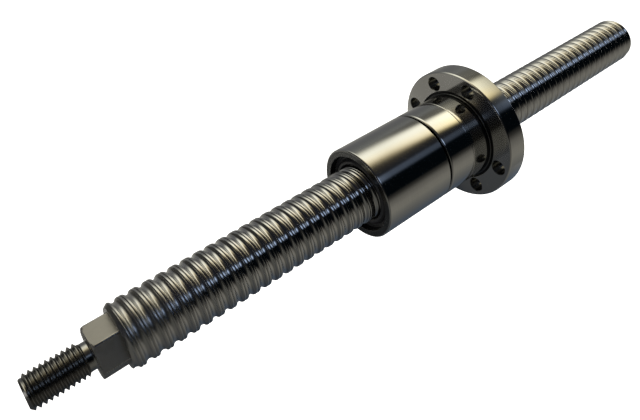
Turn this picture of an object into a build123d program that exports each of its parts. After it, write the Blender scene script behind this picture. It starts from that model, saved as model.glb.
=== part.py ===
from build123d import *
import math
import os

os.makedirs("parts", exist_ok=True)

# A ball screw with a preloaded double nut. The screw's axis is X, from the stud at -X to the plain
# end at +X, and Z is up. The origin is the centre of the hexagon's front face, the shoulder that the
# stud stands on. Sizes are in mm. Angles go round the axis in degrees, from +Y towards +Z.

# Ball thread: right-handed, one start
lead = 5.0
ball_d = 3.0
ball_circle_d = 25.0
screw_crest_d = 24.0
nut_land_d = 25.5
flank_angle = 60.0
race_gap = 0.12
crest_at_top = 0.57
ridge_sink = 0.3

# Screw
thread_start = 9.0
thread_length = 302.0
thread_end_flare = 1.0
hex_across_flats = 17.0
hex_corner_angle = 50.0
hex_edge_break = 0.4
neck_d = 9.8
neck_length = 2.4
neck_taper_length = 0.8
stud_d = 12.0
stud_length = 18.5
stud_chamfer = 1.2
centre_hole_d = 5.0
centre_hole_angle = 60.0

# Double nut, placed by the front face of its flange
flange_x = 176.0
flange_d = 62.0
flange_thickness = 10.0
flange_chamfer = 0.6
bolt_circle_d = 51.0
bolt_hole_d = 6.6
bolt_spacing_angle = 45.0
bolt_group_angles = (0.0, 180.0)
seat_d = 40.0
seat_length = 10.7
seat_line_width = 0.3
seat_line_depth = 0.1
root_relief_width = 1.1
root_relief_depth = 0.35
root_ring_width = 1.5
front_nut_length = 35.6
nut_gap = 1.15
rear_nut_length = 24.6
nut_face_chamfer = 0.5
gap_edge_chamfer = 0.35
recess_d = 33.8
lube_angle = 315.0
lube_thread_d = 5.0
lube_thread_depth = 8.0
lube_bore_d = 3.0
lube_outlet_x = 173.5

# Ball circuit of each half nut
circuit_turns = 5
return_circle_d = 32.6
return_thickness = 4.0
return_margin_angle = 8.0
return_inner_d = 25.4
return_wall = 0.7
return_fit = 0.05
channel_lead_in = 2.0
shown_balls = 3

# Spacer, wipers and key
spacer_side_gap = 0.08
spacer_outer_d = 34.4
spacer_inner_d = 29.2
front_wiper_inset = 2.4
rear_wiper_inset = 1.4
wiper_bore_d = 24.8
wiper_fit = 0.05
wiper_lip_step = 1.0
wiper_lip_height = 1.6
key_angle = 300.0
key_width = 5.0
key_length = 17.0
key_floor = 17.4
key_height = 2.2
key_fit = 0.05
key_screw_spacing = 9.0
key_screw_d = 2.0
key_screw_fit = 0.1
key_screw_head_d = 3.6
key_screw_head_height = 1.1
key_screw_depth = 2.0

# Worked out from the sizes above
ball_r = ball_d / 2
ball_circle_r = ball_circle_d / 2
pocket_r = ball_r + race_gap
screw_crest_r = screw_crest_d / 2
screw_root_r = ball_circle_r - pocket_r
nut_land_r = nut_land_d / 2
nut_race_r = ball_circle_r + pocket_r
thread_end = thread_start + thread_length
gap_end_x = flange_x - rear_nut_length
gap_start_x = gap_end_x - nut_gap
nut_front_x = gap_start_x - front_nut_length
nut_rear_x = flange_x + flange_thickness
seat_x = flange_x - seat_length
flange_r = flange_d / 2
seat_r = seat_d / 2
recess_r = recess_d / 2
return_circle_r = return_circle_d / 2
exit_angle = math.degrees(math.acos(ball_circle_r / return_circle_r))
lead_in_angle = math.degrees(math.atan(channel_lead_in / ball_circle_r))
channel_length = return_circle_r * math.sin(math.radians(exit_angle))
circuit_length = lead * (circuit_turns - 2 * exit_angle / 360)
front_circuit = (gap_start_x - return_thickness / 2 - circuit_length, gap_start_x - return_thickness / 2)
rear_circuit = (gap_end_x + return_thickness / 2, gap_end_x + return_thickness / 2 + circuit_length)
front_floor_x = front_circuit[0] - return_thickness / 2
rear_floor_x = rear_circuit[1] + return_thickness / 2


def radial(angle):
    """The unit vector that points away from the axis at an angle."""
    return Vector(0, math.cos(math.radians(angle)), math.sin(math.radians(angle)))


def groove_half_width(r):
    """Half the width of a track at radius r, with its flanks tangent to a pocket round the ball."""
    flank = math.radians(flank_angle)
    return (pocket_r - abs(r - ball_circle_r) * math.cos(flank)) / math.sin(flank)


def ball_angle(x):
    """The angle, past whole turns, at which the balls' helix passes x."""
    return 90 + 360 * (x - crest_at_top - lead / 2) / lead


def track_ridge(tip_r, root_r, start_x, turns):
    """The helical land that a track leaves standing, with its foot sunk into the wall it stands on."""
    foot_r = root_r + math.copysign(ridge_sink, root_r - tip_r)
    tip_half = lead / 2 - groove_half_width(tip_r)
    foot_half = lead / 2 - groove_half_width(foot_r)
    with BuildPart() as one_turn:
        with BuildLine() as path:
            Helix(lead, lead, tip_r, center=(start_x, 0, 0), direction=(1, 0, 0))
        with BuildSketch(Plane(origin=(start_x, 0, 0), x_dir=(0, 0, 1), z_dir=(0, 1, 0))):
            with BuildLine():
                Polyline(
                    (foot_r, -foot_half),
                    (tip_r, -tip_half),
                    (tip_r, tip_half),
                    (foot_r, foot_half),
                    close=True,
                )
            make_face()
        sweep(path=path.line, is_frenet=True)
    with BuildPart() as ridge:
        with Locations([(number * lead, 0, 0) for number in range(turns)]):
            add(one_turn.part)
    # the helix is made from the top line, and turned until its land passes crest_at_top there
    return ridge.part.rotate(Axis.X, 360 * ((start_x - crest_at_top) / lead % 1))


def ring_sector(inner_r, outer_r, start_angle, end_angle):
    """A face between two arcs about the origin."""
    size = end_angle - start_angle
    with BuildSketch() as sector:
        with BuildLine():
            inner = CenterArc((0, 0), inner_r, start_angle, size)
            outer = CenterArc((0, 0), outer_r, start_angle, size)
            Line(inner @ 0, outer @ 0)
            Line(inner @ 1, outer @ 1)
        make_face()
    return sector.sketch


def deflector_block(x, side, fit):
    """The block at one end of a circuit, or its pocket. Side is +1 where the balls leave along +X."""
    exit_at = ball_angle(x)
    ends = (
        exit_at - side * (lead_in_angle + return_margin_angle),
        exit_at + side * (exit_angle + return_margin_angle),
    )
    outer_r = return_circle_r + pocket_r + return_wall + fit
    slack = math.degrees(fit / return_circle_r)
    inner_r = return_inner_d / 2 if fit == 0 else screw_crest_r
    with BuildPart() as block:
        with BuildSketch(Plane.YZ.offset(x + side * return_thickness / 2)):
            add(ring_sector(inner_r, outer_r, min(ends) - slack, max(ends) + slack))
        extrude(amount=-side * (return_thickness + fit))
    return block.part


def ball_channel(x, side):
    """The passage in a deflector: off the ball circle along its tangent, then along the nut."""
    exit_at = ball_angle(x)
    along = radial(exit_at + side * 90)
    leave = Vector(x, 0, 0) + radial(exit_at) * ball_circle_r
    turn = leave + along * channel_length
    with BuildPart() as channel:
        with BuildSketch(Plane(origin=leave - along * channel_lead_in * 3, z_dir=along)):
            Circle(pocket_r)
        extrude(amount=channel_length + channel_lead_in * 3)
        with Locations(turn):
            Sphere(pocket_r)
        with BuildSketch(Plane(origin=turn, z_dir=(-side, 0, 0))):
            Circle(pocket_r)
        extrude(amount=return_thickness)
    return channel.part


def return_bore(circuit):
    """The bore through a nut's wall that joins its two deflectors."""
    with BuildPart() as bore:
        turn = Vector(circuit[0], 0, 0) + radial(ball_angle(circuit[0]) - exit_angle) * return_circle_r
        with BuildSketch(Plane(origin=turn, z_dir=(1, 0, 0))):
            Circle(pocket_r)
        extrude(amount=circuit_length)
    return bore.part


def key_slot(length, width, floor, top):
    """A round-ended block across the gap between the half nuts, at the key's angle."""
    out = radial(key_angle)
    middle = Vector((gap_start_x + gap_end_x) / 2, 0, 0)
    with BuildPart() as slot:
        with BuildSketch(Plane(origin=middle + out * floor, x_dir=(1, 0, 0), z_dir=out)):
            SlotOverall(length, width)
        extrude(amount=top - floor)
    return slot.part


def key_screw_planes(r):
    """A plane across each key screw's axis, at radius r and facing out."""
    out = radial(key_angle)
    middle = (gap_start_x + gap_end_x) / 2
    places = (middle - key_screw_spacing / 2, middle + key_screw_spacing / 2)
    return [Plane(origin=Vector(x, 0, 0) + out * r, x_dir=(1, 0, 0), z_dir=out) for x in places]


def finish(part, name):
    """Names a piece and writes its file."""
    part.label = name
    export_step(part, f"parts/{name}.step")


# Hexagon for a spanner, with its front edges broken
with BuildPart() as hexagon:
    with BuildSketch(Plane.YZ):
        RegularPolygon(hex_across_flats / 2, 6, major_radius=False, rotation=hex_corner_angle)
    extrude(amount=thread_start)
    chamfer(hexagon.faces().sort_by(Axis.X)[0].edges(), hex_edge_break)

# Screw shaft: core and helical land, cut to length with chamfered ends, then hexagon, neck and stud
with BuildPart() as screw_shaft:
    with BuildSketch(Plane.YZ.offset(thread_start - 2 * lead)):
        Circle(screw_root_r)
    extrude(amount=thread_length + 5 * lead)
    add(track_ridge(screw_crest_r, screw_root_r, thread_start - lead, math.ceil(thread_length / lead) + 2))
    with BuildSketch(Plane.XZ):
        flare = screw_crest_r + thread_end_flare - screw_root_r
        with BuildLine():
            Polyline(
                (thread_start, 0),
                (thread_start, screw_root_r),
                (thread_start + flare, screw_root_r + flare),
                (thread_end - flare, screw_root_r + flare),
                (thread_end, screw_root_r),
                (thread_end, 0),
                close=True,
            )
        make_face()
    revolve(axis=Axis.X, mode=Mode.INTERSECT)
    add(hexagon.part)
    with BuildSketch(Plane.XZ):
        with BuildLine():
            neck_end = -neck_length - neck_taper_length
            stud_end = neck_end - stud_length
            Polyline(
                (0, 0),
                (0, neck_d / 2),
                (-neck_length, neck_d / 2),
                (neck_end, stud_d / 2),
                (stud_end + stud_chamfer, stud_d / 2),
                (stud_end, stud_d / 2 - stud_chamfer),
                (stud_end, 0),
                close=True,
            )
        make_face()
    revolve(axis=Axis.X)
    with BuildSketch(Plane.XZ):
        cone_depth = centre_hole_d / 2 / math.tan(math.radians(centre_hole_angle / 2))
        with BuildLine():
            Polyline(
                (stud_end, 0),
                (stud_end, centre_hole_d / 2),
                (stud_end + cone_depth, 0),
                close=True,
            )
        make_face()
    revolve(axis=Axis.X, mode=Mode.SUBTRACT)
finish(screw_shaft.part, "screw_shaft")

# Front half nut: a tube with the track's land inside, turned down to its outline and wiper recess
with BuildPart() as front_nut:
    with BuildSketch(Plane.YZ.offset(nut_front_x)):
        Circle(seat_r)
        Circle(nut_race_r, mode=Mode.SUBTRACT)
    extrude(amount=front_nut_length + 3 * lead)
    land_turns = math.ceil((gap_start_x - front_floor_x) / lead) + 2
    add(track_ridge(nut_land_r, nut_race_r, front_floor_x - lead, land_turns))
    with BuildSketch(Plane.XZ):
        with BuildLine():
            Polyline(
                (nut_front_x, recess_r),
                (nut_front_x, seat_r - nut_face_chamfer),
                (nut_front_x + nut_face_chamfer, seat_r),
                (gap_start_x - gap_edge_chamfer, seat_r),
                (gap_start_x, seat_r - gap_edge_chamfer),
                (gap_start_x, 0),
                (front_floor_x, 0),
                (front_floor_x, recess_r),
                close=True,
            )
        make_face()
    revolve(axis=Axis.X, mode=Mode.INTERSECT)
    for x, side in zip(front_circuit, (-1, 1)):
        add(deflector_block(x, side, return_fit), mode=Mode.SUBTRACT)
    add(return_bore(front_circuit), mode=Mode.SUBTRACT)
    add(
        key_slot(key_length + 2 * key_fit, key_width + 2 * key_fit, key_floor, seat_r),
        mode=Mode.SUBTRACT,
    )
    with BuildSketch(key_screw_planes(key_floor)[0]):
        Circle(key_screw_d / 2)
    extrude(amount=-key_screw_depth, mode=Mode.SUBTRACT)
finish(front_nut.part, "front_nut")

# Lube port: a tapped hole in the flange's rim and a slanted bore from its bottom to the track
with BuildPart() as lube_passage:
    lube_out = radial(lube_angle)
    flange_middle = Vector(flange_x + flange_thickness / 2, 0, 0)
    port_bottom = flange_middle + lube_out * (flange_r - lube_thread_depth)
    with BuildSketch(Plane(origin=port_bottom, z_dir=lube_out)):
        Circle(lube_thread_d / 2)
    extrude(amount=lube_thread_depth + 1)
    bore_end = Vector(lube_outlet_x, 0, 0) + lube_out * ball_circle_r
    with BuildSketch(Plane(origin=bore_end, z_dir=(port_bottom - bore_end).normalized())):
        Circle(lube_bore_d / 2)
    extrude(amount=(port_bottom - bore_end).length)

# Flanged half nut: the same tube and land, with a fine line ahead of its seat, a root relief and a
# bolting flange
with BuildPart() as flanged_nut:
    with BuildSketch(Plane.YZ.offset(gap_end_x - 2 * lead)):
        Circle(flange_r)
        Circle(nut_race_r, mode=Mode.SUBTRACT)
    extrude(amount=nut_rear_x - gap_end_x + 4 * lead)
    land_turns = math.ceil((rear_floor_x - gap_end_x) / lead) + 2
    add(track_ridge(nut_land_r, nut_race_r, gap_end_x - lead, land_turns))
    with BuildSketch(Plane.XZ):
        relief_r = seat_r - root_relief_depth
        relief_x = flange_x + root_relief_depth
        with BuildLine():
            Polyline(
                (gap_end_x, 0),
                (gap_end_x, seat_r - gap_edge_chamfer),
                (gap_end_x + gap_edge_chamfer, seat_r),
                (seat_x - seat_line_width / 2, seat_r),
                (seat_x, seat_r - seat_line_depth),
                (seat_x + seat_line_width / 2, seat_r),
                (flange_x - root_relief_width, seat_r),
                (flange_x - root_relief_width + root_relief_depth, relief_r),
                (relief_x, relief_r),
                (relief_x, seat_r + root_ring_width - root_relief_depth),
                (flange_x, seat_r + root_ring_width),
                (flange_x, flange_r - flange_chamfer),
                (flange_x + flange_chamfer, flange_r),
                (nut_rear_x - flange_chamfer, flange_r),
                (nut_rear_x, flange_r - flange_chamfer),
                (nut_rear_x, recess_r),
                (rear_floor_x, recess_r),
                (rear_floor_x, 0),
                close=True,
            )
        make_face()
    revolve(axis=Axis.X, mode=Mode.INTERSECT)
    for x, side in zip(rear_circuit, (-1, 1)):
        add(deflector_block(x, side, return_fit), mode=Mode.SUBTRACT)
    add(return_bore(rear_circuit), mode=Mode.SUBTRACT)
    add(
        key_slot(key_length + 2 * key_fit, key_width + 2 * key_fit, key_floor, seat_r),
        mode=Mode.SUBTRACT,
    )
    with BuildSketch(key_screw_planes(key_floor)[1]):
        Circle(key_screw_d / 2)
    extrude(amount=-key_screw_depth, mode=Mode.SUBTRACT)
    # two groups of three holes, opposite each other
    with BuildSketch(Plane.YZ.offset(flange_x)):
        for start_angle in bolt_group_angles:
            with PolarLocations(bolt_circle_d / 2, 3, start_angle, 2 * bolt_spacing_angle, endpoint=True):
                Circle(bolt_hole_d / 2)
    extrude(amount=flange_thickness, mode=Mode.SUBTRACT)
    add(lube_passage.part, mode=Mode.SUBTRACT)
finish(flanged_nut.part, "flanged_nut")

# End deflectors: two in each half nut, which lead the balls from the track to the return bore
for half, circuit in (("front_nut", front_circuit), ("flanged_nut", rear_circuit)):
    for end, x, side in (("front", circuit[0], -1), ("rear", circuit[1], 1)):
        with BuildPart() as deflector:
            add(deflector_block(x, side, 0))
            add(ball_channel(x, side), mode=Mode.SUBTRACT)
        finish(deflector.part, f"{half}_{end}_deflector")

# Balls: a few of each circuit, evenly spaced along the track
for half, circuit in (("front_nut", front_circuit), ("flanged_nut", rear_circuit)):
    with BuildPart() as balls:
        for number in range(shown_balls):
            x = circuit[0] + circuit_length * (number + 0.5) / shown_balls
            with Locations(Vector(x, 0, 0) + radial(ball_angle(x)) * ball_circle_r):
                Sphere(ball_r)
    finish(balls.part, f"{half}_balls")

# Preload spacer: a ring that floats between the two half nuts
with BuildPart() as preload_spacer:
    with BuildSketch(Plane.YZ.offset(gap_start_x + spacer_side_gap)):
        Circle(spacer_outer_d / 2)
        Circle(spacer_inner_d / 2, mode=Mode.SUBTRACT)
    extrude(amount=nut_gap - 2 * spacer_side_gap)
finish(preload_spacer.part, "preload_spacer")

# Wipers: a stepped ring at each end of the nut, against the floor of its recess
wipers = (
    ("front_wiper", nut_front_x + front_wiper_inset, front_floor_x, -1),
    ("rear_wiper", nut_rear_x - rear_wiper_inset, rear_floor_x, 1),
)
for name, face_x, floor_x, side in wipers:
    with BuildPart() as wiper:
        with BuildSketch(Plane.XZ):
            with BuildLine():
                Polyline(
                    (floor_x, wiper_bore_d / 2),
                    (floor_x, recess_r - wiper_fit),
                    (face_x, recess_r - wiper_fit),
                    (face_x, wiper_bore_d / 2 + wiper_lip_height + wiper_lip_step),
                    (face_x + side * wiper_lip_step, wiper_bore_d / 2 + wiper_lip_height),
                    (face_x + side * wiper_lip_step, wiper_bore_d / 2),
                    close=True,
                )
            make_face()
        revolve(axis=Axis.X)
    finish(wiper.part, name)

# Locking key: a round-ended bar let into both half nuts, with a countersunk seat for each screw
with BuildPart() as locking_key:
    add(key_slot(key_length, key_width, key_floor, key_floor + key_height))
    for plane in key_screw_planes(key_floor):
        with BuildSketch(plane):
            Circle(key_screw_d / 2 + key_screw_fit)
        extrude(amount=key_height, mode=Mode.SUBTRACT)
        with BuildSketch(plane.offset(key_height - key_screw_head_height)):
            Circle(key_screw_head_d / 2 + key_screw_fit)
        extrude(amount=key_screw_head_height, mode=Mode.SUBTRACT)
finish(locking_key.part, "locking_key")

# Key screws: the two are alike
with BuildPart() as key_screws:
    for plane in key_screw_planes(key_floor):
        with BuildSketch(plane.offset(-key_screw_depth)):
            Circle(key_screw_d / 2)
        extrude(amount=key_screw_depth + key_height)
        with BuildSketch(plane.offset(key_height - key_screw_head_height)):
            Circle(key_screw_head_d / 2)
        extrude(amount=key_screw_head_height)
finish(key_screws.part, "key_screws")
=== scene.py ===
import math

import bmesh
import bpy
import numpy as np
from mathutils import Matrix, Vector


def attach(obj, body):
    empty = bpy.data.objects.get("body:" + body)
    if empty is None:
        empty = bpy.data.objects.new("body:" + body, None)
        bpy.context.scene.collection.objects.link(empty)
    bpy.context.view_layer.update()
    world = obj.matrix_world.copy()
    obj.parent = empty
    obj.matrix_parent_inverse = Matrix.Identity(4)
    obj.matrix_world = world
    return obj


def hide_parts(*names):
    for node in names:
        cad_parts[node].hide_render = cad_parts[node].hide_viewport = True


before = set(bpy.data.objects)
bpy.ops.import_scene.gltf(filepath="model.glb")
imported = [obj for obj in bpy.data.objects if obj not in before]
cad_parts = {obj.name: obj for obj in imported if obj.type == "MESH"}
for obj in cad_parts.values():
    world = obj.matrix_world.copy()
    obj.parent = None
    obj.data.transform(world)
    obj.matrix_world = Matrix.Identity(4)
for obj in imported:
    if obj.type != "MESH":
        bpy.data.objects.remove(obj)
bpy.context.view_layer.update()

# Sizes in millimetres, as in the solids, and angles in degrees from +Y towards +Z. Meshes are made in
# millimetres and scaled to metres.
MM = 0.001
# how near the axis a closed profile comes
AXIS_R = 0.01
# the ball thread, with the place of a crest's seam straight above the axis
LEAD = 5.0
CREST_AT_TOP = 0.57
THREAD_START, THREAD_END = 9.0, 311.0
START_SLOPE = 0.72
BALL_CIRCLE_R, GROOVE_R, ROOT_R = 12.5, 1.52, 10.98
GROOVE_X = LEAD / 2
# the nut's bore
LAND_R, RACE_R = 12.75, 14.12
NUT_GROOVE_R, NUT_GROOVE_MID_R, NUT_ROOT_R = 1.72, 12.4, 14.11
# the hexagon: half its width across flats, the radius it was turned to, the angle of its first corner, the
# rounding of its corners, and the angle that the rounding takes on each side of a corner
HEX_HALF, HEX_TOP_R, HEX_ANGLE = 8.5, 9.74, 50
HEX_CORNER_R, HEX_CORNER_HALF, HEX_CORE_R = 0.6, 1.79, 4.0
# the stud, its neck and its centre hole
STUD_R, STUD_ROOT_R, STUD_PITCH = 6.0, 5.02, 1.75
STUD_CREST_AT_TOP, STUD_POINT_R, RUN_OUT_SLOPE = -3.70, 4.7, 1.3
NECK_R, NECK_X, STUD_END_X = 4.9, -2.4, -21.7
CENTRE_HOLE_R, CENTRE_HOLE_DEPTH = 2.6, 4.3
# the nut's two halves
NUT_FRONT, GAP_START, GAP_END = 114.65, 150.25, 151.4
FLANGE_X, NUT_REAR = 176.0, 186.0
BODY_R, FLANGE_R, RECESS_R = 20.0, 31.0, 16.9
FRONT_FLOOR, REAR_FLOOR = 122.36, 179.29
FRONT_EDGE, GAP_EDGE, FLANGE_EDGE = 0.45, 0.35, 0.5
SEAT_LINE_X, SEAT_LINE_HALF, SEAT_LINE_DEPTH = 165.3, 0.16, 0.14
# the corner at the flange's root: a groove in the body, a ridge, and a groove in the flange's face
ROOT_GROOVE_X, ROOT_GROOVE_DEPTH, RIDGE_X, FACE_GROOVE_DEPTH = 174.0, 0.75, 175.8, 0.7
BOLT_CIRCLE_R, BOLT_R, BOLT_EDGE = 25.5, 3.3, 0.3
BOLT_ANGLES = (0, 45, 90, 180, 225, 270)
PORT_X, PORT_ANGLE, PORT_R, PORT_MOUTH_R, PORT_DEPTH = 181.0, 315, 2.5, 3.1, 8.0
KEY_ANGLE = 300.0
SLOT_HALF, SLOT_R, SLOT_FLOOR, SLOT_TOP = 6.0, 2.55, 17.4, 22.0
# the wipers and the ring between the halves
WIPER_BORE_R, WIPER_R = 12.45, 16.8
FRONT_WIPER_DEPTH, REAR_WIPER_DEPTH = 2.4, 1.4
SPACER_START, SPACER_END, SPACER_BORE_R, SPACER_R = 150.33, 151.32, 14.6, 17.2

# an edge sharper than this many degrees shows as an edge
SHARP = 32.0


def radial(angle):
    """Unit vector away from the axis."""
    a = math.radians(angle)
    return Vector((0.0, math.cos(a), math.sin(a)))


def add_object(name, data):
    """A new object in the scene."""
    obj = bpy.data.objects.new(name, data)
    bpy.context.scene.collection.objects.link(obj)
    return obj


# Materials

TURNED_LINES = (900.0, 12.0, 12.0)
EVEN_GRAIN = (60.0, 60.0, 60.0)


def add_node(nodes, kind, values=None, **settings):
    """A shader node with some of its settings, and of its inputs, which values gives by name or number."""
    node = nodes.new(kind)
    for key, value in settings.items():
        setattr(node, key, value)
    for key, value in (values or {}).items():
        node.inputs[key].default_value = value
    return node


def new_material(name):
    mat = bpy.data.materials.new(name)
    mat.use_nodes = True
    nodes, links = mat.node_tree.nodes, mat.node_tree.links
    return mat, nodes, links, nodes["Principled BSDF"]


def add_bump(nodes, links, bsdf, height, strength, distance):
    """Fine relief on a material, from a node's output."""
    relief = add_node(nodes, "ShaderNodeBump", {"Strength": strength, "Distance": distance})
    links.new(height, relief.inputs["Height"])
    links.new(relief.outputs["Normal"], bsdf.inputs["Normal"])


def steel(name, colour, dark, rough_low, rough_high, lines=TURNED_LINES, bump=0.02, dull_end=None):
    """Steel with fine turning lines round the axis and faint clouds in its polish. dull_end is (x, x, extra
    roughness): the steel is that much rougher up to the first place along the screw, and no rougher past the
    second."""
    mat, nodes, links, bsdf = new_material(name)
    bsdf.inputs["Metallic"].default_value = 1.0
    coords = nodes.new("ShaderNodeTexCoord")
    scale = add_node(nodes, "ShaderNodeMapping", {"Scale": lines})
    fine = add_node(nodes, "ShaderNodeTexNoise", {"Scale": 4.0, "Detail": 3.0})
    links.new(coords.outputs["Object"], scale.inputs["Vector"])
    links.new(scale.outputs["Vector"], fine.inputs["Vector"])
    clouds = add_node(nodes, "ShaderNodeTexNoise", {"Scale": 60.0, "Detail": 4.0})
    links.new(coords.outputs["Object"], clouds.inputs["Vector"])
    blend = add_node(nodes, "ShaderNodeMix", {0: 0.5}, data_type="FLOAT")
    links.new(fine.outputs["Fac"], blend.inputs[2])
    links.new(clouds.outputs["Fac"], blend.inputs[3])
    rough = add_node(nodes, "ShaderNodeMapRange", {
        "From Min": 0.35, "From Max": 0.65, "To Min": rough_low, "To Max": rough_high,
    })
    links.new(blend.outputs[0], rough.inputs["Value"])
    roughness = rough.outputs["Result"]
    if dull_end:
        start, end, extra = dull_end
        where = nodes.new("ShaderNodeSeparateXYZ")
        links.new(coords.outputs["Object"], where.inputs["Vector"])
        worn = add_node(nodes, "ShaderNodeMapRange", {
            "From Min": start, "From Max": end, "To Min": extra, "To Max": 0.0,
        }, interpolation_type="SMOOTHSTEP")
        links.new(where.outputs["X"], worn.inputs["Value"])
        total = add_node(nodes, "ShaderNodeMath", operation="ADD")
        links.new(roughness, total.inputs[0])
        links.new(worn.outputs["Result"], total.inputs[1])
        roughness = total.outputs[0]
    links.new(roughness, bsdf.inputs["Roughness"])
    tint = add_node(nodes, "ShaderNodeMix", {6: (*dark, 1), 7: (*colour, 1)}, data_type="RGBA")
    tone = add_node(nodes, "ShaderNodeMapRange", {"From Min": 0.3, "From Max": 0.55})
    links.new(blend.outputs[0], tone.inputs["Value"])
    links.new(tone.outputs["Result"], tint.inputs[0])
    links.new(tint.outputs[2], bsdf.inputs["Base Color"])
    if bump:
        add_bump(nodes, links, bsdf, fine.outputs["Fac"], bump, 0.0002)
    return mat


def plastic(name, colour, rough):
    """Moulded black plastic with a faint grain."""
    mat, nodes, links, bsdf = new_material(name)
    coords = nodes.new("ShaderNodeTexCoord")
    grain = add_node(nodes, "ShaderNodeTexNoise", {"Scale": 900.0})
    links.new(coords.outputs["Object"], grain.inputs["Vector"])
    bsdf.inputs["Base Color"].default_value = (*colour, 1)
    span = add_node(nodes, "ShaderNodeMapRange", {"To Min": rough - 0.05, "To Max": rough + 0.08})
    links.new(grain.outputs["Fac"], span.inputs["Value"])
    links.new(span.outputs["Result"], bsdf.inputs["Roughness"])
    add_bump(nodes, links, bsdf, grain.outputs["Fac"], 0.05, 0.0001)
    return mat


nut_steel = steel("nut_steel", (0.635, 0.625, 0.60), (0.585, 0.575, 0.55), 0.07, 0.105, bump=0.008)
thread_steel = steel("thread_steel", (0.635, 0.625, 0.605), (0.585, 0.575, 0.555), 0.06, 0.09,
                     lines=(250.0, 20.0, 20.0), bump=0.0, dull_end=(0.012, 0.062, 0.24))
hex_steel = steel("hex_steel", (0.585, 0.57, 0.54), (0.475, 0.46, 0.435), 0.52, 0.62,
                  lines=EVEN_GRAIN, bump=0.08)
edge_steel = steel("edge_steel", (0.60, 0.59, 0.56), (0.50, 0.49, 0.46), 0.22, 0.30, bump=0.0)
neck_steel = steel("neck_steel", (0.58, 0.57, 0.54), (0.46, 0.45, 0.43), 0.12, 0.18, bump=0.0)
stud_steel = steel("stud_steel", (0.38, 0.37, 0.35), (0.29, 0.285, 0.27), 0.2, 0.28, bump=0.01)
dark_steel = steel("dark_steel", (0.12, 0.12, 0.12), (0.08, 0.08, 0.08), 0.35, 0.5)
# painted shade: a darker steel on the bolt holes' walls, so that they look dark inside
hole_shade_steel = steel("hole_shade_steel", (0.20, 0.20, 0.19), (0.10, 0.10, 0.10), 0.12, 0.25)
# darker steel for the nut's front face, and painted shade in its recess, on its end in the gap and on the
# ridge at the flange's root
dark_face_and_shade_steel = steel("dark_face_and_shade_steel", (0.14, 0.14, 0.135), (0.11, 0.11, 0.11), 0.22, 0.32,
                   lines=EVEN_GRAIN, bump=0.0)
# painted shade: a near-black steel on the flanged half's end in the gap and in the grooves at the flange's
# root
gap_and_groove_shade_steel = steel("gap_and_groove_shade_steel", (0.05, 0.05, 0.05), (0.03, 0.03, 0.03), 0.3, 0.45, bump=0.0)
ball_steel = steel("ball_steel", (0.72, 0.72, 0.72), (0.70, 0.70, 0.70), 0.06, 0.09)
black_plastic = plastic("black_plastic", (0.012, 0.012, 0.013), 0.38)


def paint(obj, *mats):
    """Gives a piece its materials in place of any it has."""
    obj.data.materials.clear()
    for mat in mats:
        obj.data.materials.append(mat)


# Meshes

def shade_smooth(mesh, sharp):
    """Smooth shading, except across edges sharper than an angle."""
    for poly in mesh.polygons:
        poly.use_smooth = True
    mesh.set_sharp_from_angle(angle=math.radians(sharp))


def make_object(name, verts, faces, sharp=SHARP):
    """An object from vertices in millimetres, smooth except across sharp edges."""
    mesh = bpy.data.meshes.new(name)
    mesh.from_pydata([tuple(v) for v in verts], [], faces)
    bm = bmesh.new()
    bm.from_mesh(mesh)
    bmesh.ops.remove_doubles(bm, verts=bm.verts, dist=1e-4)
    bmesh.ops.dissolve_degenerate(bm, edges=bm.edges, dist=1e-5)
    bmesh.ops.recalc_face_normals(bm, faces=bm.faces)
    bm.to_mesh(mesh)
    bm.free()
    mesh.transform(Matrix.Scale(MM, 4))
    shade_smooth(mesh, sharp)
    return add_object(name, mesh)


def turned(name, profile, segments=256):
    """A closed profile of (x, r) points turned about the X axis."""
    verts, faces = [], []
    count = len(profile)
    for j in range(segments):
        a = 2 * math.pi * j / segments
        c, s = math.cos(a), math.sin(a)
        for x, r in profile:
            verts.append((x, r * c, r * s))
    for j in range(segments):
        k = (j + 1) % segments
        for i in range(count):
            n = (i + 1) % count
            faces.append((j * count + i, j * count + n, k * count + n, k * count + i))
    return make_object(name, verts, faces)


def rounded(points, radius=0.12, steps=3, hold=0.1):
    """A closed (x, r) profile with its corners rounded a little, as on a ground edge. A third value at a
    point is its own rounding. A point close by on each side holds the shading of a straight stretch flat."""
    out = []
    count = len(points)
    for i, entry in enumerate(points):
        p = Vector(entry[:2])
        size = entry[2] if len(entry) > 2 else radius
        before = Vector(points[i - 1][:2]) - p
        after = Vector(points[(i + 1) % count][:2]) - p
        size = min(size, before.length * 0.45, after.length * 0.45)
        if size < 1e-3:
            out.append(tuple(p))
            continue
        start, end = p + before.normalized() * size, p + after.normalized() * size
        if before.length > 8 * hold:
            out.append(tuple(p + before.normalized() * (size + hold)))
        for k in range(steps + 1):
            t = k / steps
            q = start * (1 - t) ** 2 + p * 2 * t * (1 - t) + end * t ** 2
            out.append(tuple(q))
        if after.length > 8 * hold:
            out.append(tuple(p + after.normalized() * (size + hold)))
    return out


def cut(obj, cutters):
    """Takes closed cutter objects out of obj, and deletes them."""
    for cutter in cutters:
        mod = obj.modifiers.new("cut", "BOOLEAN")
        mod.operation = "DIFFERENCE"
        mod.solver = "EXACT"
        mod.object = cutter
        mod.material_mode = "TRANSFER"
    graph = bpy.context.evaluated_depsgraph_get()
    mesh = bpy.data.meshes.new_from_object(obj.evaluated_get(graph))
    obj.modifiers.clear()
    obj.data = mesh
    shade_smooth(mesh, SHARP)
    for cutter in cutters:
        bpy.data.objects.remove(cutter, do_unlink=True)


def place(obj, origin, x_axis, z_axis):
    """Moves a mesh made about the local X axis so that X lies along x_axis at origin (mm)."""
    x = Vector(x_axis).normalized()
    z = Vector(z_axis).normalized()
    y = z.cross(x)
    m = Matrix((x, y, z)).transposed().to_4x4()
    m.translation = Vector(origin) * MM
    obj.data.transform(m)


def centre_of(poly):
    """A face's place along the axis and its radius, in millimetres."""
    return poly.center.x / MM, math.hypot(poly.center.y, poly.center.z) / MM


# Track profiles: points of (distance from the middle of the land, radius) over one lead

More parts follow.
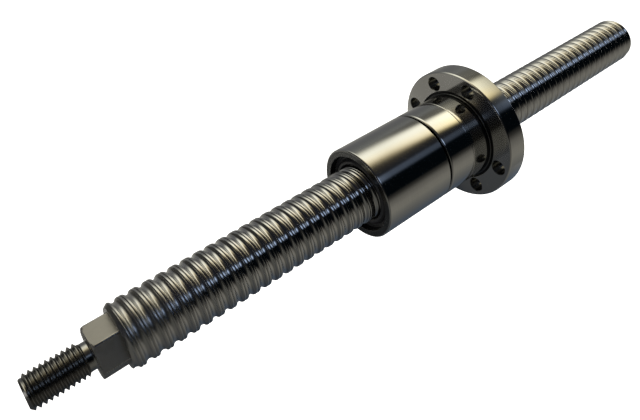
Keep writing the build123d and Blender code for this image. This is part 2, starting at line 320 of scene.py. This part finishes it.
def screw_profile():
    """Two rounded lobes with the rolled seam between them, then a ball groove."""
    points = [
        (0.0, 11.76), (0.17, 11.915), (0.22, 11.951), (0.29, 11.979), (0.38, 11.993), (0.50, 11.9995),
        (0.62, 11.9985), (0.74, 11.988), (0.86, 11.963), (0.97, 11.915), (1.05, 11.84),
    ]
    for t in (1.36, 1.27, 1.16, 1.04, 0.88, 0.70, 0.52, 0.34, 0.16, 0.05):
        points.append((GROOVE_X - t, BALL_CIRCLE_R - math.sqrt(GROOVE_R ** 2 - t ** 2)))
    points.append((GROOVE_X, BALL_CIRCLE_R - GROOVE_R))
    mirrored = [(LEAD - u, r) for u, r in reversed(points[1:-1])]
    return points + mirrored


def nut_profile():
    """The same groove turned inside out, a little narrower, for the nut's bore."""
    narrower, widest = 0.06, 1.7
    points = [(0.0, LAND_R), (0.55, LAND_R), (0.72, LAND_R + 0.03), (0.80, LAND_R + 0.11)]
    for t in (1.62, 1.50, 1.30, 1.05, 0.75, 0.45, 0.15):
        height = math.sqrt(NUT_GROOVE_R ** 2 - min(t + narrower, widest) ** 2)
        points.append((GROOVE_X - t, NUT_GROOVE_MID_R + height))
    points.append((GROOVE_X, NUT_ROOT_R))
    mirrored = [(LEAD - u, r) for u, r in reversed(points[1:-1])]
    return points + mirrored


def helix_data(profile, pitch, at_top, x_low, x_high, limit, steps):
    """A grid that follows a right-hand helix, cut to x_low..x_high with radius limit(x, r)."""
    turns = int(math.ceil((x_high - x_low) / pitch)) + 2
    first = at_top + pitch * math.floor((x_low - at_top) / pitch) - pitch
    count = len(profile)
    verts, faces = [], []
    for j in range(turns * steps + 1):
        a = math.pi / 2 + 2 * math.pi * j / steps
        c, s = math.cos(a), math.sin(a)
        for u, r in profile:
            x = first + pitch * j / steps + u
            x = min(max(x, x_low), x_high)
            r = limit(x, r)
            verts.append((x, r * c, r * s))
    for j in range(turns * steps):
        for i in range(count - 1):
            a, b = j * count + i, j * count + i + 1
            faces.append((a, b, b + count, a + count))
        # the last point of a row meets the first point of the row one turn on
        ahead = j + steps
        if ahead + 1 <= turns * steps:
            last = j * count + count - 1
            faces.append((last, ahead * count, (ahead + 1) * count, last + count))
    return verts, faces


def end_limit(x, r):
    """The turned chamfers at the ball thread's two ends."""
    return min(r, ROOT_R + (x - THREAD_START) * START_SLOPE, ROOT_R + (THREAD_END - x))


def no_limit(x, r):
    """A bore's track runs to its ends as it is."""
    return r


# Screw

verts, faces = helix_data(screw_profile(), LEAD, CREST_AT_TOP, THREAD_START, THREAD_END, end_limit, 84)
ball_thread = make_object("ball_thread", verts, faces, sharp=70)

end_r, inner_r, behind_end = ROOT_R + 0.02, ROOT_R - 0.4, 0.4
shaft_core = turned("shaft_core", rounded([
    (THREAD_START, end_r, 0.0), (THREAD_START, AXIS_R, 0.0), (THREAD_END, AXIS_R, 0.0),
    (THREAD_END, end_r, 0.15), (THREAD_END - behind_end, inner_r, 0.0),
    (THREAD_START + behind_end, inner_r, 0.0),
]), 192)


def hexagon_data():
    """A turned hexagon with rounded corners, and a chamfer at the front."""
    centre_r = (HEX_HALF - HEX_CORNER_R) / math.cos(math.radians(30))
    half = [0.0, 0.3, 0.6, 0.9, 1.2, 1.5, 1.78, 2.4, 4.0, 8.0, 14.0, 22.0]
    around = half + [30.0] + [60.0 - past for past in reversed(half[1:])]
    chamfer = [(0.0, 8.9), (0.12, 9.15), (0.45, 9.55)]
    top = [(x, HEX_TOP_R) for x in (0.9, 4.0, 8.4, THREAD_START)]
    levels = [(0.0, HEX_CORE_R)] + chamfer + top + [(THREAD_START, HEX_CORE_R)]
    verts, faces = [], []
    for side in range(6):
        for past in around:
            near = math.radians(min(past, 60.0 - past))
            if near < math.radians(HEX_CORNER_HALF):
                reach = math.sqrt(HEX_CORNER_R ** 2 - (centre_r * math.sin(near)) ** 2)
                outline = centre_r * math.cos(near) + reach
            else:
                outline = HEX_HALF / math.cos(math.radians(past - 30))
            a = math.radians(HEX_ANGLE + 60 * side + past)
            for x, r in levels:
                r = min(r, outline) if r > HEX_CORE_R else r
                verts.append((x, r * math.cos(a), r * math.sin(a)))
    count = len(levels)
    steps = 6 * len(around)
    for k in range(steps):
        n = (k + 1) % steps
        for i in range(count):
            j = (i + 1) % count
            faces.append((k * count + i, k * count + j, n * count + j, n * count + i))
    return verts, faces


verts, faces = hexagon_data()
hexagon = make_object("hexagon", verts, faces, sharp=25)
paint(hexagon, hex_steel, edge_steel)
for poly in hexagon.data.polygons:
    # the rounded corners are smoother than the flats
    turn = math.degrees(math.atan2(poly.center.z, poly.center.y)) - HEX_ANGLE
    if centre_of(poly)[0] > 0.8 and min(turn % 60, -turn % 60) < HEX_CORNER_HALF:
        poly.material_index = 1


def stud_profile():
    """A 60 degree thread with a narrow crest and a rounded root, over one pitch."""
    p = STUD_PITCH
    crest, root = p / 8, p / 5
    rising = [
        (0.0, STUD_R), (crest / 2, STUD_R), (crest / 2 + 0.03, STUD_R - 0.04),
        (p / 2 - root / 2, STUD_ROOT_R + 0.08), (p / 2 - root / 4, STUD_ROOT_R + 0.02),
    ]
    mirrored = [(p - u, r) for u, r in reversed(rising[1:])]
    return rising + [(p / 2, STUD_ROOT_R)] + mirrored


def stud_limit(x, r):
    """The point's chamfer and the run-out into the neck."""
    return min(r, STUD_POINT_R + (x - STUD_END_X), NECK_R + (NECK_X - x) * RUN_OUT_SLOPE)


verts, faces = helix_data(stud_profile(), STUD_PITCH, STUD_CREST_AT_TOP, STUD_END_X, NECK_X, stud_limit, 96)
stud_thread = make_object("stud_thread", verts, faces, sharp=40)

stud_neck = turned("stud_neck", rounded([
    (0.3, AXIS_R, 0.0), (0.3, NECK_R + 0.6, 0.0), (0.0, NECK_R + 0.35, 0.1), (-0.35, NECK_R, 0.25),
    (NECK_X, NECK_R, 0.1), (NECK_X - 0.2, NECK_R - 0.2, 0.0), (STUD_END_X + 0.15, STUD_POINT_R - 0.2, 0.0),
    (STUD_END_X, STUD_POINT_R, 0.0), (STUD_END_X, CENTRE_HOLE_R, 0.1),
    (STUD_END_X + CENTRE_HOLE_DEPTH, AXIS_R, 0.0),
]), 160)

# Nut

front_half = turned("front_half", rounded([
    (NUT_FRONT, RECESS_R, 0.15), (NUT_FRONT, BODY_R - FRONT_EDGE, 0.08),
    (NUT_FRONT + FRONT_EDGE, BODY_R, 0.15), (GAP_START - GAP_EDGE, BODY_R, 0.06),
    (GAP_START, BODY_R - GAP_EDGE, 0.06), (GAP_START, RACE_R, 0.1), (FRONT_FLOOR, RACE_R, 0.1),
    (FRONT_FLOOR, RECESS_R, 0.0),
]))
paint(front_half, nut_steel, dark_face_and_shade_steel)
for poly in front_half.data.polygons:
    # darker steel on the front face, and painted shade in the recess and on the end in the gap
    x, r = centre_of(poly)
    in_front = x < FRONT_FLOOR + 0.64 and r < BODY_R - 0.6
    in_gap = x > GAP_START - 0.03 and r < BODY_R - 0.4
    if in_front or in_gap:
        poly.material_index = 1

flanged_half = turned("flanged_half", rounded([
    (GAP_END, RACE_R, 0.1), (GAP_END, BODY_R - 0.8, 0.15), (GAP_END + 0.16, BODY_R - 0.3, 0.25),
    (GAP_END + 0.6, BODY_R, 0.25),
    (SEAT_LINE_X - SEAT_LINE_HALF, BODY_R, 0.03), (SEAT_LINE_X, BODY_R - SEAT_LINE_DEPTH, 0.02),
    (SEAT_LINE_X + SEAT_LINE_HALF, BODY_R, 0.03),
    (ROOT_GROOVE_X - 0.1, BODY_R, 0.05), (ROOT_GROOVE_X, BODY_R - ROOT_GROOVE_DEPTH, 0.1),
    (RIDGE_X - 0.3, BODY_R - ROOT_GROOVE_DEPTH, 0.2), (RIDGE_X, BODY_R + 0.35, 0.1),
    (FLANGE_X, BODY_R + 0.55, 0.05), (FLANGE_X + FACE_GROOVE_DEPTH, BODY_R + 0.7, 0.15),
    (FLANGE_X + FACE_GROOVE_DEPTH, BODY_R + 1.5, 0.2), (FLANGE_X, BODY_R + 1.75, 0.06),
    (FLANGE_X, FLANGE_R - FLANGE_EDGE, 0.1), (FLANGE_X + FLANGE_EDGE, FLANGE_R, 0.15),
    (NUT_REAR - FLANGE_EDGE, FLANGE_R, 0.15), (NUT_REAR, FLANGE_R - FLANGE_EDGE, 0.1),
    (NUT_REAR, RECESS_R, 0.15), (REAR_FLOOR, RECESS_R, 0.0), (REAR_FLOOR, RACE_R, 0.1),
]))
paint(flanged_half, nut_steel, gap_and_groove_shade_steel, dark_face_and_shade_steel)
for poly in flanged_half.data.polygons:
    # painted shade: near-black steel on the end in the gap and the two grooves in the corner at the flange's
    # root, and darker steel on the fine ridge between them
    x, r = centre_of(poly)
    if x < GAP_END + 0.03 and r < BODY_R - 0.85:
        poly.material_index = 1
    elif ROOT_GROOVE_X - 0.05 < x < FLANGE_X + 0.8 and BODY_R - 1 < r < BODY_R + 1.74:
        ridge = RIDGE_X - 0.2 < x < FLANGE_X + 0.3 and BODY_R < r < BODY_R + 0.7
        poly.material_index = 2 if ridge else 1

cutters = []
flange_width, past_face = NUT_REAR - FLANGE_X, 2.0
hole_edge_r = BOLT_R + BOLT_EDGE
for angle in BOLT_ANGLES:
    hole = turned("hole", [
        (-past_face, AXIS_R), (-past_face, hole_edge_r), (0.0, hole_edge_r), (BOLT_EDGE, BOLT_R),
        (flange_width - BOLT_EDGE, BOLT_R), (flange_width, hole_edge_r),
        (flange_width + past_face, hole_edge_r), (flange_width + past_face, AXIS_R),
    ], 64)
    # the cutter passes its painted shade on to the walls of the hole it makes
    paint(hole, hole_shade_steel)
    place(hole, Vector((FLANGE_X, 0, 0)) + radial(angle) * BOLT_CIRCLE_R, (1, 0, 0), (0, 0, 1))
    cutters.append(hole)
port_hole = turned("hole", [
    (-PORT_DEPTH, AXIS_R), (-PORT_DEPTH, PORT_R), (-0.35, PORT_R), (0.25, PORT_MOUTH_R),
    (past_face, PORT_MOUTH_R), (past_face, AXIS_R),
], 64)
place(port_hole, Vector((PORT_X, 0, 0)) + radial(PORT_ANGLE) * FLANGE_R, radial(PORT_ANGLE), (1, 0, 0))
cutters.append(port_hole)
cut(flanged_half, cutters)


def slot_cutter():
    """The key's round-ended slot, across the gap."""
    verts, faces = [], []
    steps = 24
    ring = []
    for side in (1, -1):
        for k in range(steps + 1):
            a = -side * math.pi / 2 + math.pi * k / steps
            ring.append((side * SLOT_HALF + SLOT_R * math.cos(a), SLOT_R * math.sin(a)))
    count = len(ring)
    for level in (SLOT_FLOOR, SLOT_TOP):
        for x, y in ring:
            verts.append((x, y, level))
    faces.append(tuple(range(count)))
    faces.append(tuple(range(2 * count - 1, count - 1, -1)))
    for i in range(count):
        n = (i + 1) % count
        faces.append((i, n, count + n, count + i))
    obj = make_object("slot", verts, faces)
    place(obj, ((GAP_START + GAP_END) / 2, 0, 0), (1, 0, 0), radial(KEY_ANGLE))
    return obj


cut(front_half, [slot_cutter()])
cut(flanged_half, [slot_cutter()])

verts, faces = helix_data(nut_profile(), LEAD, CREST_AT_TOP, FRONT_FLOOR, GAP_START, no_limit, 72)
front_track = make_object("front_track", verts, faces, sharp=70)
verts, faces = helix_data(nut_profile(), LEAD, CREST_AT_TOP, GAP_END, REAR_FLOOR, no_limit, 72)
rear_track = make_object("rear_track", verts, faces, sharp=70)


def wiper(name, floor_x, face_x, side):
    """A moulded wiper ring with a rim, a groove and a raised lip round the screw."""
    rim_x, groove_x = face_x - side * 0.15, face_x - side * 0.7
    lip_x, bore_x = face_x + side * 1.0, face_x + side * 0.4
    rim_r, groove_outer_r, groove_inner_r = 16.1, 15.8, 15.0
    lip_foot_r, lip_outer_r, lip_inner_r = 14.7, 13.95, 12.9
    return turned(name, rounded([
        (floor_x, WIPER_BORE_R, 0.05), (floor_x, WIPER_R, 0.05), (rim_x, WIPER_R, 0.12), (rim_x, rim_r, 0.12),
        (groove_x, groove_outer_r, 0.15), (groove_x, groove_inner_r, 0.15), (face_x, lip_foot_r, 0.15),
        (lip_x, lip_outer_r, 0.2), (lip_x, lip_inner_r, 0.15), (bore_x, WIPER_BORE_R, 0.1),
    ]), 192)


front_wiper = wiper("front_wiper_ring", FRONT_FLOOR, NUT_FRONT + FRONT_WIPER_DEPTH, -1)
rear_wiper = wiper("rear_wiper_ring", REAR_FLOOR, NUT_REAR - REAR_WIPER_DEPTH, 1)

spacer_ring = turned("spacer_ring", rounded([
    (SPACER_START, SPACER_BORE_R), (SPACER_START, SPACER_R), (SPACER_END, SPACER_R),
    (SPACER_END, SPACER_BORE_R),
], 0.1), 192)

# Who moves with what, and which CAD parts are hidden where the new pieces take their place
for obj in (ball_thread, shaft_core, hexagon, stud_thread, stud_neck):
    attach(obj, "screw")
for obj in (front_half, flanged_half, front_track, rear_track):
    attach(obj, "nut")
for obj in (front_wiper, rear_wiper):
    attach(obj, "nut")
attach(spacer_ring, "nut_carrier")
for obj in (ball_thread, shaft_core, hexagon, stud_thread, stud_neck):
    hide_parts("screw_shaft")
for obj in (front_half, front_track):
    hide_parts("front_nut")
for obj in (flanged_half, rear_track):
    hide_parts("flanged_nut")
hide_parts("front_wiper")
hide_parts("rear_wiper")
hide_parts("preload_spacer")

for obj in (front_track, rear_track):
    paint(obj, nut_steel)
for obj in (ball_thread, shaft_core):
    paint(obj, thread_steel)
paint(stud_thread, stud_steel)
paint(stud_neck, neck_steel)
for obj in (front_wiper, rear_wiper):
    paint(obj, black_plastic)
paint(spacer_ring, dark_steel)
for node, mat in (
    ("front_nut_balls", ball_steel), ("flanged_nut_balls", ball_steel),
    ("front_nut_front_deflector", dark_steel), ("front_nut_rear_deflector", dark_steel),
    ("flanged_nut_front_deflector", dark_steel), ("flanged_nut_rear_deflector", dark_steel),
    ("locking_key", dark_steel), ("key_screws", dark_steel),
):
    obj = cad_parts[node]
    for slot in obj.material_slots:
        slot.material = mat

# Camera at the photograph's viewing angle: the directions of the picture's right and down, and its place in
# metres
right = Vector((0.7739, -0.62924, 0.07169)).normalized()
down = Vector((-0.36586, -0.53661, -0.76039))
down = (down - right * down.dot(right)).normalized()
forward = right.cross(down)
camera_data = bpy.data.cameras.new("camera")
camera = add_object("camera", camera_data)
m = Matrix((right, -down, -forward)).transposed().to_4x4()
m.translation = Vector((-0.018827, -0.116815, 0.203388))
camera.matrix_world = m
camera_data.sensor_width = 36.0
camera_data.lens = 36.07
camera_data.shift_y = -0.1875
camera_data.clip_start = 0.005
camera_data.clip_end = 100.0
bpy.context.scene.camera = camera


# Studio: a long tube of pale and dark surroundings round the screw, seen only in reflections. Places along
# the screw are in metres here. The tube has two parts, one beyond the stud and one on the stud's side.

TUBE_R = 0.27
TUBE_ENDS = (-1.8, 2.2)
SEAM_ANGLES = (-54, 305.5)
# where the two parts meet, and where they meet high up, between two angles, and how narrow their edge is
NEAR_END, FAR_REACH, REACH_ANGLES, EDGE_HALF = -0.017, -0.056, (22, 131), 0.0005
# the light of the walls and the floor in each part: angle, strength and tint
FAR_ROOM = [
    (-54, 0.50, (1, 0.99, 0.90)), (-40, 0.36, (1, 0.99, 0.90)), (-28, 0.24, (1, 1, 0.95)),
    (-12, 0.17, (1, 1, 1)), (0, 0.148, (1, 1.02, 1.05)), (12, 0.155, (1, 1.03, 1.02)),
    (24, 0.19, (1, 1.03, 1)), (34, 0.14, (1, 1, 0.9)), (50, 0.09, (1, 0.95, 0.8)),
    (96, 0.04, (1, 0.9, 0.75)), (108, 0.02, (1, 1.1, 1.3)), (128, 0.0012, (1, 2, 3)),
    (160, 0.0012, (1, 2, 3)), (168, 0.04, (1, 0.97, 0.88)), (178, 0.15, (1, 0.97, 0.87)),
    (192, 0.222, (1, 0.97, 0.86)), (204, 0.228, (1, 0.975, 0.86)), (216, 0.182, (1, 1, 0.92)),
    (228, 0.143, (1, 1.02, 1)), (240, 0.110, (1, 1.1, 1.2)), (254, 0.078, (1, 1.25, 1.6)),
    (270, 0.068, (1, 1.25, 1.6)), (305, 0.07, (1, 1.2, 1.5)),
]
NEAR_ROOM = [
    (-54, 0.255, (1, 0.98, 0.9)), (-44, 0.255, (1, 0.98, 0.9)), (-30, 0.20, (1, 0.98, 0.9)),
    (-24, 0.05, (1, 0.98, 0.9)), (50, 0.03, (1, 1, 1)), (75, 0.008, (1, 1, 1.3)),
    (125, 0.010, (1, 1.1, 1.4)), (158, 0.012, (1, 1, 0.9)), (175, 0.10, (1, 1, 0.9)),
    (215, 0.11, (1, 1, 0.92)), (245, 0.07, (1, 1.05, 1.1)), (280, 0.055, (1, 1.1, 1.2)),
    (296, 0.07, (1, 1.05, 1.1)), (305.5, 0.26, (1, 0.98, 0.9)),
]
# the softbox: place along the screw, the angle of its middle, its strength, and how sharp its edges are
SOFTBOX = [
    (-0.056, 62, 0.32, 3), (-0.02, 56, 0.5, 3), (0.015, 48, 1.0, 3), (0.06, 48, 1.15, 3),
    (0.16, 49, 1.3, 3), (0.25, 56, 1.35, 3), (0.30, 61.5, 1.35, 3), (0.345, 70, 1.45, 5),
    (0.385, 77, 1.9, 6), (0.41, 79, 1.4, 6), (0.43, 80, 0.25, 6), (0.445, 80, 0.0, 6),
]
SOFTBOX_HALF = 21.5
# its tint, how much warmer that gets towards its far edge, and how much behind the nut
SOFTBOX_TINT = np.array([1.0, 0.985, 0.84])
WARM_EDGE, WARM_ANGLES = np.array([0.0, 0.15, 0.36]), (-4, 26)
WARM_BEHIND = np.array([0.0, 0.03, 0.12])
# a narrow cool lamp beside it: place along the screw and strength
LAMP = [
    (-0.056, 0.2), (-0.02, 0.05), (0.05, 0.3), (0.09, 0.9), (0.22, 1.0), (0.25, 0.4), (0.28, 0.105),
    (0.40, 0.055), (0.45, 0.2), (0.7, 0.2),
]
# patches of light: the angle of the middle, half the width, how sharp the edges are, strength and tint
LAMP_PATCH = (120.0, 7.0, 4, 1.0, (0.62, 0.8, 1.15))
BEHIND_PATCH = (46, 12, 2, 0.09, (1.0, 0.97, 0.8))
DIM_WINDOW = (14, 18, 2, 0.07, (1.0, 0.97, 0.86))
COOL_WINDOW = (98, 20, 4, 0.21, (0.9, 1.0, 1.08))
HIGH_WINDOW = (98, 34, 4, 0.45, (0.75, 0.9, 1.25))
HIGH_WINDOW_X, HIGH_WINDOW_HALF = -0.21, 0.11
# stretches along the screw over which the light changes
STUD_STRETCH, BEHIND_STRETCH = (0.04, 0.13), (0.34, 0.39)
PAST_STRETCH, SHADE_STRETCH = (0.40, 0.46), (0.66, 0.96)
# the walls are lighter past the nut above an angle, darker below another, and darker near the stud above one
PAST_LIGHTER, PAST_DARKER, STUD_DARKER = (226, 1.2), (60, 0.2), (150, 0.5)
# the shade at the far end of the room up to an angle, and above it
SHADE_ANGLE, SHADE_UP_TO, SHADE_ABOVE = 160, 0.75, 0.9


def ramp(value, stretch):
    """0 before a stretch, 1 past it, and straight between."""
    low, high = stretch
    return min(max((value - low) / (high - low), 0.0), 1.0)


def between(stops, at, column):
    """One column of a list of stops, at a place between them."""
    return np.interp(at, [stop[0] for stop in stops], [stop[column] for stop in stops])


def wall(stops, angle):
    """The light of a room's wall or floor at an angle."""
    tints = np.array([np.array(stop[2]) * stop[1] for stop in stops])
    return np.array([np.interp(angle, [stop[0] for stop in stops], tints[:, k]) for k in range(3)])


def patch(angle, middle, half, power, strength, tint):
    """The light of a patch at an angle."""
    return strength * math.exp(-((angle - middle) / half) ** power) * np.array(tint)


def room_light(x, angle):
    """What the studio shows in one direction: its walls and floor, the softbox and the lamp."""
    if x < (FAR_REACH if REACH_ANGLES[0] < angle < REACH_ANGLES[1] else NEAR_END):
        # a cool window stands high up on the stud's side
        beside = math.exp(-((x - HIGH_WINDOW_X) / HIGH_WINDOW_HALF) ** 4)
        return wall(NEAR_ROOM, angle) + beside * patch(angle, *HIGH_WINDOW)
    light = wall(FAR_ROOM, angle)
    behind = ramp(x, BEHIND_STRETCH)
    past = ramp(x, PAST_STRETCH)
    if angle > PAST_LIGHTER[0]:
        light = light * (1 + PAST_LIGHTER[1] * past)
    if angle < PAST_DARKER[0]:
        light = light * (1 - PAST_DARKER[1] * past)
    if angle > STUD_DARKER[0]:
        light = light * (1 - STUD_DARKER[1] * (1 - ramp(x, STUD_STRETCH)))
    off = angle - between(SOFTBOX, x, 1)
    glow = between(SOFTBOX, x, 2) * math.exp(-abs(off / SOFTBOX_HALF) ** between(SOFTBOX, x, 3))
    light = light + glow * (SOFTBOX_TINT - ramp(off, WARM_ANGLES) * WARM_EDGE - behind * WARM_BEHIND)
    light = light + behind * (1 - past) * patch(angle, *BEHIND_PATCH)
    # past the nut the softbox ends, and a dim window and a cool one are left
    light = light + past * patch(angle, *DIM_WINDOW)
    light = light + past * patch(angle, *COOL_WINDOW)
    light = light + between(LAMP, x, 1) * patch(angle, *LAMP_PATCH)
    shade = SHADE_ABOVE if angle > SHADE_ANGLE else SHADE_UP_TO
    return light * (1 - shade * ramp(x, SHADE_STRETCH))


stations = [TUBE_ENDS[0]]
for meeting in (FAR_REACH, NEAR_END):
    stations += [meeting - EDGE_HALF, meeting + EDGE_HALF]
stations += [0.02 * k for k in range(34)]
stations += [0.76, 0.86, 0.96, 1.06, TUBE_ENDS[1]]
columns = list(range(SEAM_ANGLES[0], math.ceil(SEAM_ANGLES[1]), 2)) + [SEAM_ANGLES[1]]
verts, tones = [], []
for angle in columns:
    for x in stations:
        verts.append(Vector((x, 0, 0)) + radial(angle) * TUBE_R)
        tones.append(room_light(x, angle))
faces = []
count = len(stations)
for k in range(len(columns) - 1):
    for i in range(count - 1):
        faces.append((k * count + i, k * count + i + 1, (k + 1) * count + i + 1, (k + 1) * count + i))
tube_mesh = bpy.data.meshes.new("studio_tube")
tube_mesh.from_pydata(verts, [], faces)
shade = tube_mesh.color_attributes.new("shade", "FLOAT_COLOR", "POINT")
for entry, tone in zip(shade.data, tones):
    entry.color = (*[float(c) for c in tone], 1.0)
studio_tube = add_object("studio_tube", tube_mesh)


def empty_nodes(owner):
    """The cleared node tree of a material or a world."""
    owner.use_nodes = True
    owner.node_tree.nodes.clear()
    return owner.node_tree.nodes, owner.node_tree.links


def seen_directly(nodes, links):
    """1 to the eye, in a reflection and through glass, and otherwise 0."""
    path = nodes.new("ShaderNodeLightPath")
    seen = path.outputs["Is Camera Ray"]
    for kind in ("Is Glossy Ray", "Is Transmission Ray"):
        either = add_node(nodes, "ShaderNodeMath", operation="MAXIMUM")
        links.new(seen, either.inputs[0])
        links.new(path.outputs[kind], either.inputs[1])
        seen = either.outputs[0]
    return seen


mat = bpy.data.materials.new("studio_tube")
nodes, links = empty_nodes(mat)
out = nodes.new("ShaderNodeOutputMaterial")
glow = nodes.new("ShaderNodeEmission")
tone = add_node(nodes, "ShaderNodeAttribute", attribute_name="shade")
links.new(tone.outputs["Color"], glow.inputs["Color"])
links.new(glow.outputs["Emission"], out.inputs["Surface"])
mat.cycles.emission_sampling = "NONE"
tube_mesh.materials.append(mat)
studio_tube.visible_camera = False
studio_tube.visible_diffuse = False
studio_tube.visible_transmission = False
studio_tube.visible_shadow = False

world = bpy.data.worlds.new("world")
bpy.context.scene.world = world
nodes, links = empty_nodes(world)
out = nodes.new("ShaderNodeOutputWorld")
room = add_node(nodes, "ShaderNodeBackground", {"Color": (0.5, 0.5, 0.5, 1), "Strength": 0.8})
white = add_node(nodes, "ShaderNodeBackground", {"Color": (1, 1, 1, 1), "Strength": 1.0})
pick = nodes.new("ShaderNodeMixShader")
links.new(seen_directly(nodes, links), pick.inputs["Fac"])
links.new(room.outputs["Background"], pick.inputs[1])
links.new(white.outputs["Background"], pick.inputs[2])
links.new(pick.outputs["Shader"], out.inputs["Surface"])

# Floor: white to the eye, and it keeps the object's soft shadow
FLOOR_Z, FLOOR_HALF, FLOOR_LIFT = -0.30, 20, 0.55
floor_mesh = bpy.data.meshes.new("floor")
corners = [(-1, -1), (1, -1), (1, 1), (-1, 1)]
floor_mesh.from_pydata([(x * FLOOR_HALF, y * FLOOR_HALF, FLOOR_Z) for x, y in corners], [], [(0, 1, 2, 3)])
floor = add_object("floor", floor_mesh)
mat = bpy.data.materials.new("floor_white")
nodes, links = empty_nodes(mat)
out = nodes.new("ShaderNodeOutputMaterial")
flat = add_node(nodes, "ShaderNodeBsdfDiffuse", {"Color": (0.9, 0.9, 0.9, 1)})
glow = nodes.new("ShaderNodeEmission")
lift = add_node(nodes, "ShaderNodeMath", {1: FLOOR_LIFT}, operation="MULTIPLY")
links.new(seen_directly(nodes, links), lift.inputs[0])
links.new(lift.outputs[0], glow.inputs["Strength"])
both = nodes.new("ShaderNodeAddShader")
links.new(flat.outputs["BSDF"], both.inputs[0])
links.new(glow.outputs["Emission"], both.inputs[1])
links.new(both.outputs["Shader"], out.inputs["Surface"])
floor_mesh.materials.append(mat)


def area_lamp(name, location, size, power, colour=(1, 1, 1), target=(0.15, 0, 0)):
    """A square lamp that faces a target and shows in no reflection."""
    light = bpy.data.lights.new(name, "AREA")
    light.shape = "SQUARE"
    light.size = size
    light.energy = power
    light.color = colour
    obj = add_object(name, light)
    obj.location = location
    obj.rotation_euler = (Vector(target) - Vector(location)).to_track_quat("-Z", "Y").to_euler()
    obj.visible_glossy = False


area_lamp("key", (0.3, 0.5, 1.4), size=1.2, power=26, colour=(1.0, 0.97, 0.9))
area_lamp("fill", (-0.8, -1.0, 0.8), size=1.2, power=10)

bpy.context.scene.view_settings.view_transform = "Standard"
